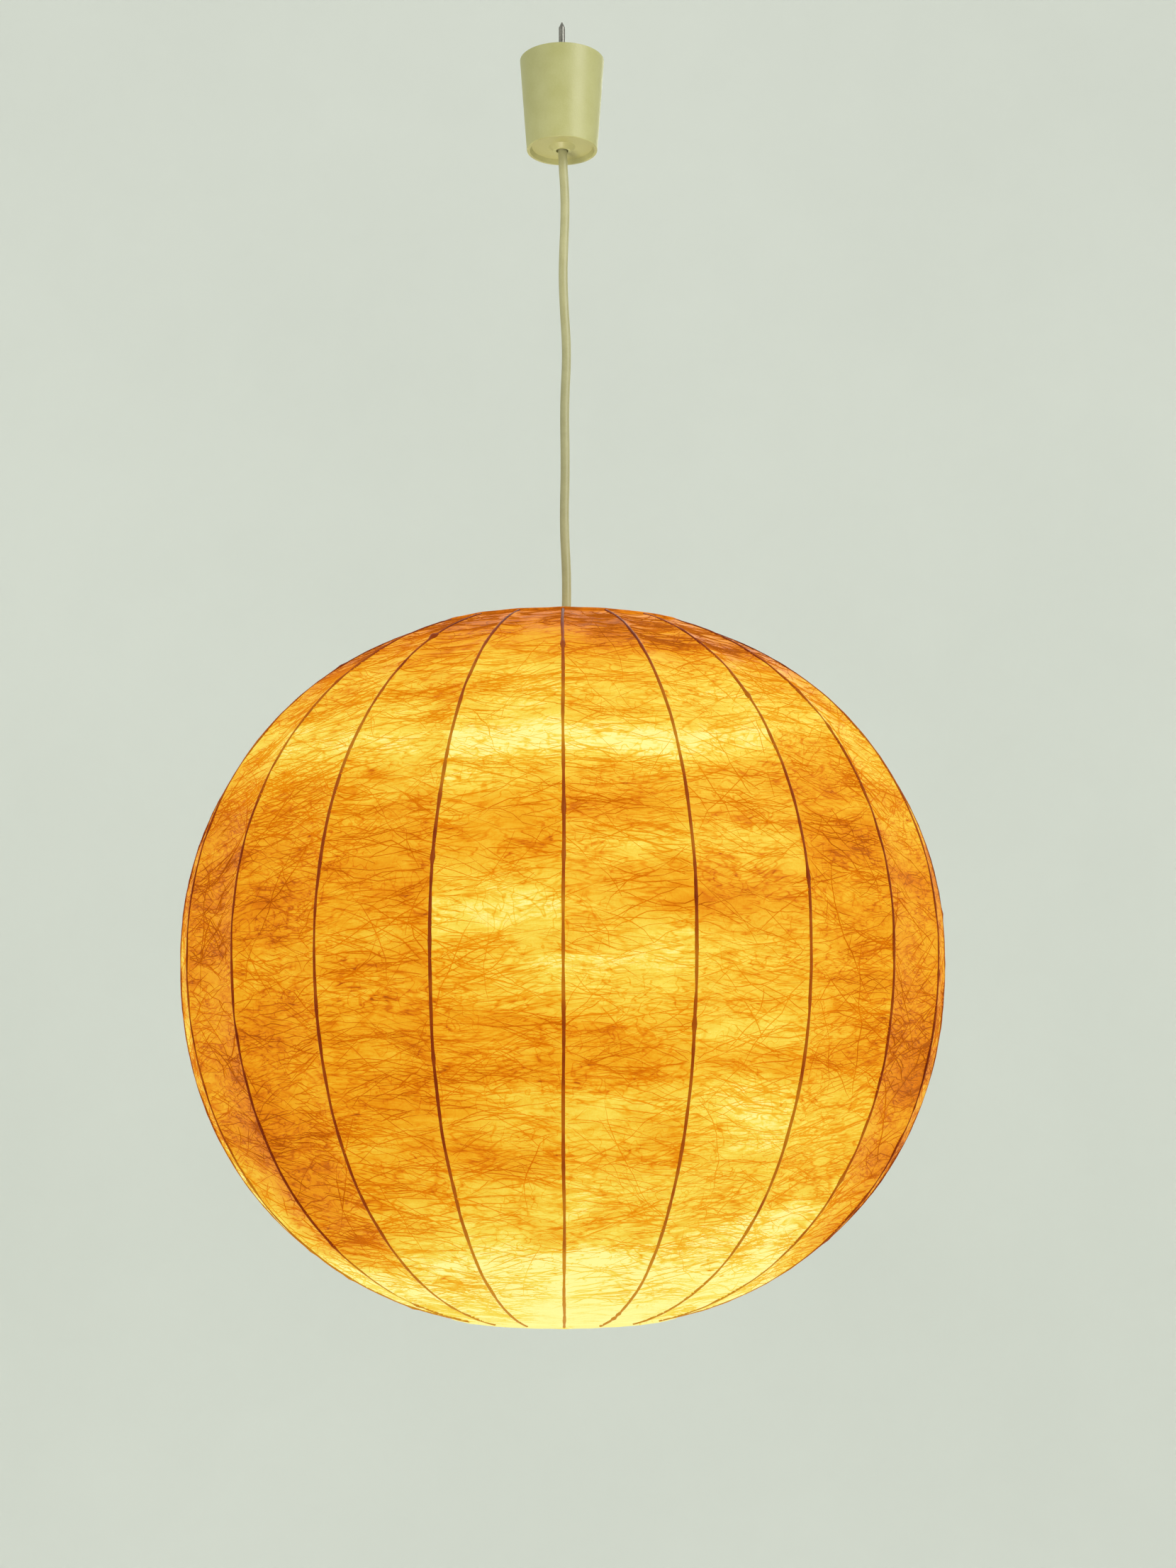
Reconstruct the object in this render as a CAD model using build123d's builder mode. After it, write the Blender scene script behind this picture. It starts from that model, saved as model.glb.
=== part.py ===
from build123d import *
import os
from math import acos, atan2, cos, degrees, hypot, pi, radians, sin

# Globe pendant lamp: a cage of upright wire ribs under a sprayed fibre skin, hung by a round
# cable from a plastic ceiling cup. The origin is where the hook enters the ceiling, +Z is up,
# and the first rib faces -Y. Millimetres.

# ---- Shade ----
shade_dia = 520.0  # across the skin at the ribs
shade_rise = 236.0  # equator to the superellipse's upper pole
shade_fall = 251.0  # equator to its lower pole
power_up = 2.07  # superellipse exponents, 2 is a plain ellipse
power_down = 2.19
top_mouth_dia = 190.0
bottom_mouth_dia = 157.0
rib_count = 21
rib_dia = 2.4
skin_wall = 0.8
hoop_wire_dia = 4.0  # the cage's two end rings
arcs_per_half = 3  # tangent arcs in each half of the meridian

# ---- Hanging ----
shade_hang = 650.0  # ceiling to equator
cable_dia = 6.5
canopy_gap = 4.0  # ceiling to the cup's rim
canopy_height = 68.0
canopy_top_dia = 61.0
canopy_bottom_dia = 51.0
canopy_wall = 2.0
canopy_hole_dia = 8.8
canopy_floor = 2.6
boss_dia = 19.0
boss_tip_dia = 12.4
dish_depth = 3.0
dish_slope = 1.5
rim_width = 2.2
rim_round = 0.8
grip_ring_dia = 11.0
grip_ring_height = 5.0
grip_seat_height = 5.5

# ---- Hook, hanger ring and cord grip ----
hook_wire_dia = 3.5
hook_screw_dia = 4.6
hook_screw_above = 22.0  # length of thread inside the ceiling
hook_screw_below = 3.0
hook_reach = 7.0  # from the axis to the middle of the hook's wire
hook_depth = 22.0  # ceiling to the middle of the hook's lowest wire
hook_neck = 7.0  # ceiling to the bend that leads out to the hook's side
hook_shoulder = 11.5
hook_tip = 12.5
hook_bend = 2.5
screw_point = 4.0
screw_point_dia = 0.8
link_dia = 13.0
link_wire_dia = 2.4
eye_hole_dia = 5.2
eye_plate = 3.0
eye_width = 9.0
eye_rim = 3.0
eye_corner = 1.5
bridge = 3.0  # thickness of the bracket between eye plate and clamp
bridge_drop = 0.5
grip_width = 18.0
grip_depth = 12.8
grip_height = 13.0
grip_top = -47.0
cable_end = -45.0  # top of the cable's sheath
clamp_split = 0.3
grip_screw_spacing = 12.4
grip_screw_dia = 3.0
grip_head_dia = 5.0
grip_head_height = 2.0

# ---- Terminal block and conductors ----
block_near = 12.5
block_size = (9.0, 12.0, 18.0)
block_bottom = -36.0
conductor_dia = 2.0
conductor_level = -41.6
conductor_spread = 2.4
conductor_bend = 2.2
terminal_pitch = 6.4
terminal_row = 9.0  # spacing of a terminal's two screws
terminal_screw_dia = 3.2
terminal_screw_proud = 1.2
terminal_hole_dia = 3.2
terminal_hole_depth = 6.0
block_bevel = 1.0

# ---- Lampholder ----
seat_drop = 75.0  # equator up to the face that carries the fitter ring
skirt_dia = 39.0
skirt_bore = 32.4
skirt_length = 32.0
flange_width = 3.5  # flange beyond the skirt
flange_height = 3.0
flange_bevel = 1.0
collar_width = 1.0  # collar beyond the skirt
collar_height = 13.0
ledge_width = 1.7
ledge_height = 3.0
cap_height = 24.0
cap_wall = 2.5
cap_side = 6.0  # upright part of the cap's side
cap_slope_top = 16.0
cap_slope_in = 4.0
cap_neck_dia = 18.0
cap_neck_height = 3.0
cap_thread_height = 5.0
nipple_dia = 10.3
nipple_head_dia = 16.0
nipple_head_height = 5.0
nipple_nose_height = 5.0
nipple_nose_wall = 1.6
nipple_below = 10.0
cable_in_cap = 8.0
core_height = 18.5
core_screw_spacing = 15.0
core_screw_dia = 3.2
core_screw_length = 6.0
core_head_dia = 6.0
core_head_height = 1.8
core_well_dia = 8.0
core_well_depth = 8.0
thread_bore = 26.5
thread_wall = 0.4
thread_length = 26.0
fitter_width = 10.5  # fitter ring beyond the skirt
fitter_plate = 2.0
shade_ring_width = 7.5  # threaded ring beyond the skirt
shade_ring_height = 10.0
shade_ring_bevel = 0.4
notch_count = 24
notch_dia = 1.8
contact_height = 2.4
contact_strip = 0.5
contact_width = 5.0
contact_foot = 8.0  # axis to the outer end of the contact's foot
contact_knee = 4.0
contact_heel = 2.5
contact_toe = 5.0

# ---- Spider arms ----
arm_count = 3
arm_wire_dia = 3.0
arm_elbow = 58.0
arm_upright = 27.0  # straight stretch beside the top ring
arm_low_bend = 14.0
arm_high_bend = 40.0
arm_on_flange = 1.5  # start of an arm, beyond the flange

# ---- Bulb ----
bulb_dia = 60.0
bulb_centre = -8.0  # globe centre, from the equator
bulb_wall = 0.8
bulb_neck_dia = 24.4
bulb_neck_end = 28.0  # from the fitter seat down to where the neck opens
cap_dia = 25.8
cap_length = 24.5
cap_sheet = 0.5
cap_fold = 1.5  # bevel at the screw cap's upper edge
cap_hole_dia = 14.0
glass_in_cap = 12.0  # top of the cap down to the top of the glass
insulator_dia = 17.6
insulator_height = 1.7
pip_dia = 9.6
pip_height = 1.1
stem_dia = 9.0
stem_flare = 12.0
stem_taper = 1.5
stem_above = 12.0  # stem tip above the globe centre
filament_radius = 11.0
filament_foot = 2.0
filament_neck = 3.0
filament_shoulder = 7.0
filament_depth = 16.0
filament_wire_dia = 1.0
filament_bends = (1.2, 2.0, 3.0, 3.0, 2.0, 1.2)

# ---- Clearances ----
running = 0.05
loose = 0.3
weld = 0.05
skin_gap = 0.15

os.makedirs("parts", exist_ok=True)

equator = -shade_hang
seat = equator + seat_drop
canopy_top = -canopy_gap
canopy_bottom = canopy_top - canopy_height
rib_step = 360 / rib_count
half_step = radians(rib_step / 2)
first_rib = -90.0
cable_radius = cable_dia / 2


def keep(part, name):
    """Names a finished piece and writes its STEP file."""
    part.label = name
    export_step(part, f"parts/{name}.step")


# ---- The shade's meridian ----
# Each half is a superellipse, drawn as tangent arcs from the equator to the mouth's edge.


def half_arcs(half_width, height, power, mouth_radius):
    """Centres, radii, start angles and sweeps, in degrees, of one half's arcs."""
    last_turn = acos((mouth_radius / half_width) ** (power / 2))
    turns = [last_turn * (i + 1) / arcs_per_half for i in range(arcs_per_half)]
    start = (half_width, 0.0)
    heading = pi / 2
    arcs = []
    for turn in turns:
        end = (half_width * cos(turn) ** (2 / power), height * sin(turn) ** (2 / power))
        across = end[0] - start[0]
        up = end[1] - start[1]
        bend = 2 * (atan2(up, across) - heading)
        radius = hypot(across, up) / (2 * sin(bend / 2))
        centre = (start[0] - radius * sin(heading), start[1] + radius * cos(heading))
        arcs.append((centre, radius, degrees(heading) - 90, degrees(bend)))
        start = end
        heading += bend
    return arcs


def meridian_ends(half_width, outset):
    """The upper and lower end of the meridian, moved out by outset, and its slope there."""
    ends = []
    for height, power, mouth, side in (
        (shade_rise, power_up, top_mouth_dia / 2, 1),
        (shade_fall, power_down, bottom_mouth_dia / 2, -1),
    ):
        centre, radius, angle, sweep = half_arcs(half_width, height, power, mouth)[-1]
        lean = radians(angle + sweep)
        reach = radius + outset
        spot = (centre[0] + reach * cos(lean), side * (centre[1] + reach * sin(lean)))
        ends.append((spot, side * lean))
    return ends


def draw_meridian(half_width, outset):
    """Adds the meridian's arcs to the line block that is open."""
    for centre, radius, angle, sweep in half_arcs(
        half_width, shade_rise, power_up, top_mouth_dia / 2
    ):
        CenterArc(centre, radius + outset, angle, sweep)
    for centre, radius, angle, sweep in half_arcs(
        half_width, shade_fall, power_down, bottom_mouth_dia / 2
    ):
        CenterArc((centre[0], -centre[1]), radius + outset, -angle, -sweep)


shade_radius = shade_dia / 2
shade_plane = Plane(origin=(0, 0, equator), x_dir=(1, 0, 0), z_dir=(0, -1, 0))
flat_radius = shade_radius * cos(half_step)  # axis to the middle of a flat gore

# One gore is a band of skin, flat from rib to rib and curved up and down.
with BuildPart() as gore:
    with BuildSketch(shade_plane) as gore_band:
        with BuildLine() as gore_outline:
            draw_meridian(flat_radius, 0)
            draw_meridian(flat_radius, -skin_wall)
            for (outer, _), (inner, _) in zip(
                meridian_ends(flat_radius, 0), meridian_ends(flat_radius, -skin_wall)
            ):
                Line(outer, inner)
        make_face()
    extrude(amount=shade_radius, both=True)
    with BuildSketch(Plane.XY.offset(equator - shade_radius)) as wedge:
        with BuildLine():
            reach = 2 * shade_radius
            spread = reach * sin(half_step) / cos(half_step)
            Polyline((0, 0), (reach, -spread), (reach, spread), close=True)
        make_face()
    extrude(amount=2 * shade_radius, mode=Mode.INTERSECT)

# The gores meet face to face at the ribs.
gores = []
for i in range(rib_count):
    with BuildPart() as placed_gore:
        add(gore.part, rotation=(0, 0, first_rib + (i + 0.5) * rib_step))
    gores.append(placed_gore.part.solid())
keep(Compound(gores), "cocoon_skin")

# ---- The cage ----
rib_radius = rib_dia / 2
rib_inset = skin_wall + skin_gap + rib_radius / cos(half_step)
with BuildPart() as rib:
    with BuildLine(shade_plane) as rib_line:
        draw_meridian(shade_radius, -rib_inset)
    rib_path = rib_line.wires()[0]
    with BuildSketch(Plane(origin=rib_path @ 0, z_dir=rib_path % 0)):
        Circle(rib_radius)
    sweep(path=rib_path)
for i in range(rib_count):
    with BuildPart() as placed_rib:
        add(rib.part, rotation=(0, 0, first_rib + i * rib_step))
    keep(placed_rib.part, f"rib_{i + 1:02d}")

hoop_inset = rib_inset + rib_radius + weld + hoop_wire_dia / 2
hoop_names = ("top_ring", "bottom_ring")
hoop_spots = []
for name, (spot, lean) in zip(hoop_names, meridian_ends(shade_radius, -hoop_inset)):
    hoop_spots.append(spot)
    with BuildPart() as hoop:
        with BuildSketch(shade_plane):
            with Locations(spot):
                Circle(hoop_wire_dia / 2)
        revolve(axis=Axis.Z)
    keep(hoop.part, name)

# The spider: three arms from the top ring down to a flat ring on the lampholder.
with BuildPart() as fitter_ring:
    with BuildSketch(Plane.XY.offset(seat - fitter_plate)):
        Circle(skirt_dia / 2 + fitter_width)
        Circle(skirt_dia / 2 + loose, mode=Mode.SUBTRACT)
    extrude(amount=fitter_plate)
keep(fitter_ring.part, "fitter_ring")

arm_radius = arm_wire_dia / 2
flange_radius = skirt_dia / 2 + flange_width
arm_level = seat + arm_radius + weld - equator
arm_top = hoop_spots[0][0] - hoop_wire_dia / 2 - weld - arm_radius
arm_start = flange_radius + arm_on_flange
with BuildPart() as arm:
    with BuildLine(shade_plane) as arm_line:
        FilletPolyline(
            (arm_start, arm_level),
            (arm_elbow, arm_level),
            (arm_top, hoop_spots[0][1] - arm_upright),
            (arm_top, hoop_spots[0][1] + hoop_wire_dia / 2),
            radius=[arm_low_bend, arm_high_bend],
        )
    arm_path = arm_line.wires()[0]
    with BuildSketch(Plane(origin=arm_path @ 0, z_dir=arm_path % 0)):
        Circle(arm_radius)
    sweep(path=arm_path)
for i in range(arm_count):
    with BuildPart() as placed_arm:
        add(arm.part, rotation=(0, 0, 90 + i * 360 / arm_count))
    keep(placed_arm.part, f"spider_arm_{i + 1}")

# ---- Lampholder ----
skirt_radius = skirt_dia / 2
bore_radius = skirt_bore / 2
collar_radius = skirt_radius + collar_width
skirt_bottom = seat - skirt_length
flange_top = seat + flange_height
collar_top = seat + collar_height
ledge_top = seat + ledge_height
cap_top = collar_top + cap_height
with BuildPart() as holder_body:
    with BuildSketch(Plane.XZ):
        with BuildLine():
            Polyline(
                (bore_radius, skirt_bottom),
                (skirt_radius, skirt_bottom),
                (skirt_radius, seat),
                (flange_radius, seat),
                (flange_radius, flange_top - flange_bevel),
                (collar_radius, flange_top + flange_bevel),
                (collar_radius, collar_top),
                (bore_radius, collar_top),
                (bore_radius, ledge_top),
                (bore_radius - ledge_width, ledge_top),
                (bore_radius - ledge_width, seat),
                (bore_radius, seat),
                close=True,
            )
        make_face()
    revolve(axis=Axis.Z)
keep(holder_body.part, "holder_body")

shade_ring_radius = skirt_radius + shade_ring_width
with BuildPart() as shade_ring:
    with BuildSketch(Plane.XY.offset(seat - fitter_plate - shade_ring_height)):
        Circle(shade_ring_radius)
        Circle(skirt_radius + loose, mode=Mode.SUBTRACT)
    extrude(amount=shade_ring_height)
    with PolarLocations(shade_ring_radius, notch_count):
        Hole(notch_dia / 2)
    lower_edges = shade_ring.faces().sort_by(Axis.Z)[0].edges().sort_by(SortBy.LENGTH)
    chamfer(lower_edges[-1:], shade_ring_bevel)
keep(shade_ring.part, "shade_ring")

neck_radius = cap_neck_dia / 2
slope_radius = collar_radius - cap_slope_in
with BuildPart() as holder_cap:
    with BuildSketch(Plane.XZ):
        with BuildLine():
            Polyline(
                (collar_radius - cap_wall, collar_top),
                (collar_radius, collar_top),
                (collar_radius, collar_top + cap_side),
                (slope_radius, collar_top + cap_slope_top),
                (neck_radius, cap_top - cap_neck_height),
                (neck_radius, cap_top),
                (nipple_dia / 2, cap_top),
                (nipple_dia / 2, cap_top - cap_thread_height),
                (neck_radius - 1, cap_top - cap_thread_height - 1),
                (slope_radius - cap_wall, collar_top + cap_slope_top - 2),
                (collar_radius - cap_wall, collar_top + cap_side - 1),
                close=True,
            )
        make_face()
    revolve(axis=Axis.Z)
keep(holder_cap.part, "holder_cap")

head_top = cap_top + nipple_head_height
nose_top = head_top + nipple_nose_height
with BuildPart() as cord_nipple:
    with BuildSketch(Plane.XZ):
        with BuildLine():
            Polyline(
                (cable_radius + running, cap_top - nipple_below),
                (nipple_dia / 2 - running, cap_top - nipple_below),
                (nipple_dia / 2 - running, cap_top),
                (nipple_head_dia / 2, cap_top),
                (nipple_head_dia / 2, head_top),
                (cable_radius + nipple_nose_wall, nose_top),
                (cable_radius + running, nose_top),
                close=True,
            )
        make_face()
    revolve(axis=Axis.Z)
keep(cord_nipple.part, "cord_nipple")

core_top = ledge_top + core_height
with BuildPart() as holder_core:
    with BuildSketch(Plane.XY.offset(ledge_top)):
        Circle(bore_radius - loose)
    extrude(amount=core_height)
    with Locations((0, 0, core_top)):
        with GridLocations(core_screw_spacing, 1, 2, 1):
            Hole(core_screw_dia / 2 + loose, depth=core_screw_length)
        Hole(core_well_dia / 2, depth=core_well_depth)
keep(holder_core.part, "holder_core")

with BuildPart() as core_screws:
    for bottom, width, length in (
        (core_top - core_screw_length, core_screw_dia, core_screw_length),
        (core_top, core_head_dia, core_head_height),
    ):
        with BuildSketch(Plane.XY.offset(bottom)):
            with GridLocations(core_screw_spacing, 1, 2, 1):
                Circle(width / 2)
        extrude(amount=length)
keep(core_screws.part, "core_screws")

with BuildPart() as thread_shell:
    with BuildSketch(Plane.XY.offset(ledge_top - thread_length)):
        Circle(thread_bore / 2 + thread_wall)
        Circle(thread_bore / 2, mode=Mode.SUBTRACT)
    extrude(amount=thread_length)
keep(thread_shell.part, "thread_shell")

contact_low = ledge_top - contact_height - contact_strip
with BuildPart() as holder_contact:
    with BuildSketch(Plane.XZ):
        with BuildLine():
            Polyline(
                (-contact_foot, ledge_top),
                (-contact_knee, ledge_top),
                (-contact_heel, ledge_top - contact_height),
                (contact_toe, ledge_top - contact_height),
                (contact_toe, contact_low),
                (-contact_heel - contact_strip, contact_low),
                (-contact_knee - contact_strip, ledge_top - contact_strip),
                (-contact_foot, ledge_top - contact_strip),
                close=True,
            )
        make_face()
    extrude(amount=contact_width / 2, both=True)
keep(holder_contact.part, "holder_contact")

# ---- Bulb ----
globe = equator + bulb_centre
globe_radius = bulb_dia / 2
neck_open = seat - bulb_neck_end
pip_base = contact_low - loose - pip_height
cap_line = pip_base - insulator_height
glass_top = cap_line - glass_in_cap
with BuildPart() as bulb_glass:
    with BuildSketch(Plane.XZ):
        for inset, mode in ((0, Mode.ADD), (bulb_wall, Mode.SUBTRACT)):
            radius = globe_radius - inset
            half_neck = bulb_neck_dia / 2 - inset
            neck_top = glass_top - inset
            rise = neck_open - globe
            lean = atan2(rise, half_neck) - acos(radius / hypot(rise, half_neck))
            touch = (radius * cos(lean), globe + radius * sin(lean))
            with BuildLine():
                Polyline((0, globe - radius), (0, neck_top), (half_neck, neck_top))
                Polyline((half_neck, neck_top), (half_neck, neck_open), touch)
                CenterArc((0, globe), radius, -90, 90 + degrees(lean))
            make_face(mode=mode)
    revolve(axis=Axis.Z)
keep(bulb_glass.part, "bulb_glass")

cap_radius = cap_dia / 2
with BuildPart() as bulb_base:
    with BuildSketch(Plane.XZ):
        with BuildLine():
            Polyline(
                (cap_radius, cap_line - cap_length),
                (cap_radius, cap_line - cap_fold),
                (cap_radius - cap_fold, cap_line),
                (cap_hole_dia / 2, cap_line),
                (cap_hole_dia / 2, cap_line - cap_sheet),
                (cap_radius - cap_fold - cap_sheet, cap_line - cap_sheet),
                (cap_radius - cap_sheet, cap_line - cap_fold - cap_sheet),
                (cap_radius - cap_sheet, cap_line - cap_length),
                close=True,
            )
        make_face()
    revolve(axis=Axis.Z)
keep(bulb_base.part, "bulb_base")

with BuildPart() as bulb_insulator:
    with BuildSketch(Plane.XZ):
        with BuildLine():
            Polyline(
                (0, cap_line),
                (insulator_dia / 2, cap_line),
                (pip_dia / 2, pip_base),
                (0, pip_base),
                close=True,
            )
        make_face()
    revolve(axis=Axis.Z)
keep(bulb_insulator.part, "bulb_insulator")

with BuildPart() as bulb_contact:
    with BuildSketch(Plane.XZ):
        with BuildLine():
            Polyline(
                (0, pip_base),
                (pip_dia / 2, pip_base),
                (pip_dia / 2, pip_base + pip_height / 3),
                (pip_dia / 3, pip_base + pip_height),
                (0, pip_base + pip_height),
                close=True,
            )
        make_face()
    revolve(axis=Axis.Z)
keep(bulb_contact.part, "bulb_contact")

stem_top = glass_top - bulb_wall
stem_tip = globe + stem_above
with BuildPart() as bulb_stem:
    with BuildSketch(Plane.XZ):
        with BuildLine():
            Polyline(
                (0, stem_top),
                (bulb_neck_dia / 2 - bulb_wall - loose, stem_top),
                (stem_dia / 2, stem_top - stem_flare),
                (stem_dia / 2 - stem_taper, stem_tip),
                (0, stem_tip),
                close=True,
            )
        make_face()
    revolve(axis=Axis.Z)
keep(bulb_stem.part, "bulb_stem")

# The filament is an open loop carried by two lead wires from the stem.
with BuildPart() as bulb_filament:
    with BuildLine(Plane.XZ) as filament_line:
        FilletPolyline(
            (-filament_foot, stem_tip),
            (-filament_foot, stem_tip - filament_neck),
            (-filament_radius, stem_tip - filament_shoulder),
            (-filament_radius, stem_tip - filament_depth),
            (filament_radius, stem_tip - filament_depth),
            (filament_radius, stem_tip - filament_shoulder),
            (filament_foot, stem_tip - filament_neck),
            (filament_foot, stem_tip),
            radius=filament_bends,
        )
    filament_path = filament_line.wires()[0]
    with BuildSketch(Plane(origin=filament_path @ 0, z_dir=filament_path % 0)):
        Circle(filament_wire_dia / 2)
    sweep(path=filament_path)
keep(bulb_filament.part, "bulb_filament")

# ---- Ceiling hook and hanger ring ----
hook_radius = hook_wire_dia / 2
with BuildPart() as ceiling_hook:
    with BuildLine(Plane.XZ) as hook_line:
        FilletPolyline(
            (0, -hook_screw_below),
            (0, -hook_neck),
            (-hook_reach, -hook_shoulder),
            (-hook_reach, -hook_depth),
            (hook_reach, -hook_depth),
            (hook_reach, -hook_tip),
            radius=[hook_bend, hook_bend, hook_reach - running, hook_reach - running],
        )
    hook_path = hook_line.wires()[0]
    with BuildSketch(Plane(origin=hook_path @ 0, z_dir=hook_path % 0)):
        Circle(hook_radius)
    sweep(path=hook_path)
    with BuildSketch(Plane.XY.offset(-hook_screw_below)):
        Circle(hook_screw_dia / 2)
    extrude(amount=hook_screw_below + hook_screw_above)
    with Locations((0, 0, hook_screw_above + screw_point / 2)):
        Cone(hook_screw_dia / 2, screw_point_dia / 2, screw_point)
keep(ceiling_hook.part, "ceiling_hook")

link_radius = link_dia / 2
link_wire = link_wire_dia / 2
link_centre = -hook_depth + hook_radius + loose / 2 + link_wire - link_radius
with BuildPart() as hanger_ring:
    with BuildSketch(Plane.XY.offset(link_centre)):
        with Locations((0, link_radius)):
            Circle(link_wire)
    revolve(axis=Axis((0, 0, link_centre), (1, 0, 0)))
keep(hanger_ring.part, "hanger_ring")

# ---- Cord grip: an eye plate with half a clamp, and the other half screwed to it ----
link_bottom = link_centre - link_radius
eye_radius = eye_hole_dia / 2
eye_centre = link_bottom + link_wire + loose + running - eye_radius
eye_top = eye_centre + eye_radius + eye_rim
bridge_top = eye_centre - eye_radius - bridge_drop
back = grip_depth / 2
grip_bottom = grip_top - grip_height
grip_middle = grip_top - grip_height / 2
screw_hole = grip_screw_dia / 2 + running


def drill_grip():
    """Bores one half of the clamp for the cable and for its two screws."""
    with Locations((0, 0, grip_top)):
        Hole(cable_radius, depth=grip_height)
    with Locations(Plane.XZ):
        with Locations((0, grip_middle)):
            with GridLocations(grip_screw_spacing, 1, 2, 1):
                Hole(screw_hole)


with BuildPart() as cord_grip:
    with BuildSketch(Plane.XZ.offset(-eye_plate / 2)):
        with Locations((0, (eye_top + bridge_top - bridge) / 2)):
            RectangleRounded(eye_width, eye_top - bridge_top + bridge, eye_corner)
        with Locations((0, eye_centre)):
            Circle(eye_radius, mode=Mode.SUBTRACT)
    extrude(amount=eye_plate)
    with Locations((0, (back - eye_plate / 2) / 2, bridge_top - bridge)):
        Box(eye_width, back + eye_plate / 2, bridge, align=(Align.CENTER, Align.CENTER, Align.MIN))
    with Locations((0, back - bridge / 2, grip_bottom)):
        Box(eye_width, bridge, bridge_top - grip_bottom, align=(Align.CENTER, Align.CENTER, Align.MIN))
    half_clamp = (grip_width, back - clamp_split / 2, grip_height)
    with Locations((0, clamp_split / 2, grip_bottom)):
        Box(*half_clamp, align=(Align.CENTER, Align.MIN, Align.MIN))
    drill_grip()
keep(cord_grip.part, "cord_grip")

with BuildPart() as grip_clamp:
    with Locations((0, -clamp_split / 2, grip_bottom)):
        Box(*half_clamp, align=(Align.CENTER, Align.MAX, Align.MIN))
    drill_grip()
keep(grip_clamp.part, "grip_clamp")

with BuildPart() as grip_screws:
    for width, length in (
        (grip_head_dia, grip_head_height),
        (grip_screw_dia, -grip_depth),
    ):
        with BuildSketch(Plane.XZ.offset(back)):
            with Locations((0, grip_middle)):
                with GridLocations(grip_screw_spacing, 1, 2, 1):
                    Circle(width / 2)
        extrude(amount=length)
keep(grip_screws.part, "grip_screws")

# ---- Terminal block and conductors ----
block_long, block_wide, block_high = block_size
block_middle = block_near + block_long / 2
with BuildPart() as terminal_block:
    with Locations((block_middle, 0, block_bottom)):
        Box(*block_size, align=(Align.CENTER, Align.CENTER, Align.MIN))
    chamfer(terminal_block.edges().filter_by(Axis.Z), block_bevel)
    with Locations((block_middle, 0, block_bottom + block_high)):
        with GridLocations(1, terminal_pitch, 1, 2):
            Hole(terminal_hole_dia / 2, depth=terminal_hole_depth)
keep(terminal_block.part, "terminal_block")

with BuildPart() as terminal_screws:
    with BuildSketch(Plane.YZ.offset(block_near + block_long)):
        with Locations((0, block_bottom + block_high / 2)):
            with GridLocations(terminal_pitch, terminal_row, 2, 2):
                Circle(terminal_screw_dia / 2)
    extrude(amount=terminal_screw_proud)
keep(terminal_screws.part, "terminal_screws")

with BuildPart() as conductors:
    for side in (-1, 1):
        near = side * conductor_spread / 2
        far = side * terminal_pitch / 2
        with BuildLine() as conductor_line:
            FilletPolyline(
                (0, near, cable_end),
                (0, near, conductor_level),
                (block_middle, far, conductor_level),
                (block_middle, far, block_bottom),
                radius=conductor_bend,
            )
        conductor_path = conductor_line.wires()[0]
        with BuildSketch(Plane(origin=conductor_path @ 0, z_dir=conductor_path % 0)):
            Circle(conductor_dia / 2)
        sweep(path=conductor_path)
keep(conductors.part, "conductors")

# ---- Cable: it carries the lamp, so it is one straight run from grip to lampholder ----
cable_low = cap_top - cable_in_cap
cable_route = [(0, 0, cable_end), (0, 0, cable_low)]
with BuildPart() as cord:
    with BuildLine() as cable_line:
        Line(*cable_route)
    cable_path = cable_line.wires()[0]
    with BuildSketch(Plane(origin=cable_path @ 0, z_dir=cable_path % 0)):
        Circle(cable_radius)
    sweep(path=cable_path)
keep(cord.part, "cord")
section = pi * cable_radius**2
print("cable radii: none, one straight run of", round(cable_path.length, 1), "mm")
print("cable volume", round(cord.part.volume), "section x length", round(section * cable_path.length))

# ---- Ceiling cup, held up on the cable by a rubber ring ----
top_radius = canopy_top_dia / 2
bottom_radius = canopy_bottom_dia / 2
dish_level = canopy_bottom + dish_depth
floor_top = dish_level + canopy_floor
taper = (top_radius - bottom_radius) / canopy_height
inner_floor_radius = bottom_radius + taper * (floor_top - canopy_bottom) - canopy_wall
seat_radius = grip_ring_dia / 2 + running
with BuildPart() as canopy_cup:
    with BuildSketch(Plane.XZ):
        with BuildLine():
            Polyline(
                (top_radius, canopy_top),
                (bottom_radius, canopy_bottom),
                (bottom_radius - rim_width, canopy_bottom),
                (bottom_radius - rim_width - dish_slope, dish_level),
                (boss_dia / 2, dish_level),
                (boss_tip_dia / 2, canopy_bottom),
                (canopy_hole_dia / 2, canopy_bottom),
                (canopy_hole_dia / 2, floor_top),
                (seat_radius, floor_top),
                (seat_radius, floor_top + grip_seat_height),
                (seat_radius + canopy_wall, floor_top + grip_seat_height),
                (boss_dia / 2, floor_top),
                (inner_floor_radius, floor_top),
                (top_radius - canopy_wall, canopy_top),
                close=True,
            )
        make_face()
    revolve(axis=Axis.Z)
    rim_edges = canopy_cup.edges().group_by(Axis.Z)[0].sort_by(SortBy.RADIUS)
    fillet(rim_edges[-1], rim_round)
keep(canopy_cup.part, "canopy_cup")

with BuildPart() as canopy_grip_ring:
    with BuildSketch(Plane.XY.offset(floor_top)):
        Circle(grip_ring_dia / 2)
        Circle(cable_radius + running, mode=Mode.SUBTRACT)
    extrude(amount=grip_ring_height)
keep(canopy_grip_ring.part, "canopy_grip_ring")
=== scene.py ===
import math

import bpy
import numpy as np
from mathutils import Matrix, Vector


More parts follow.
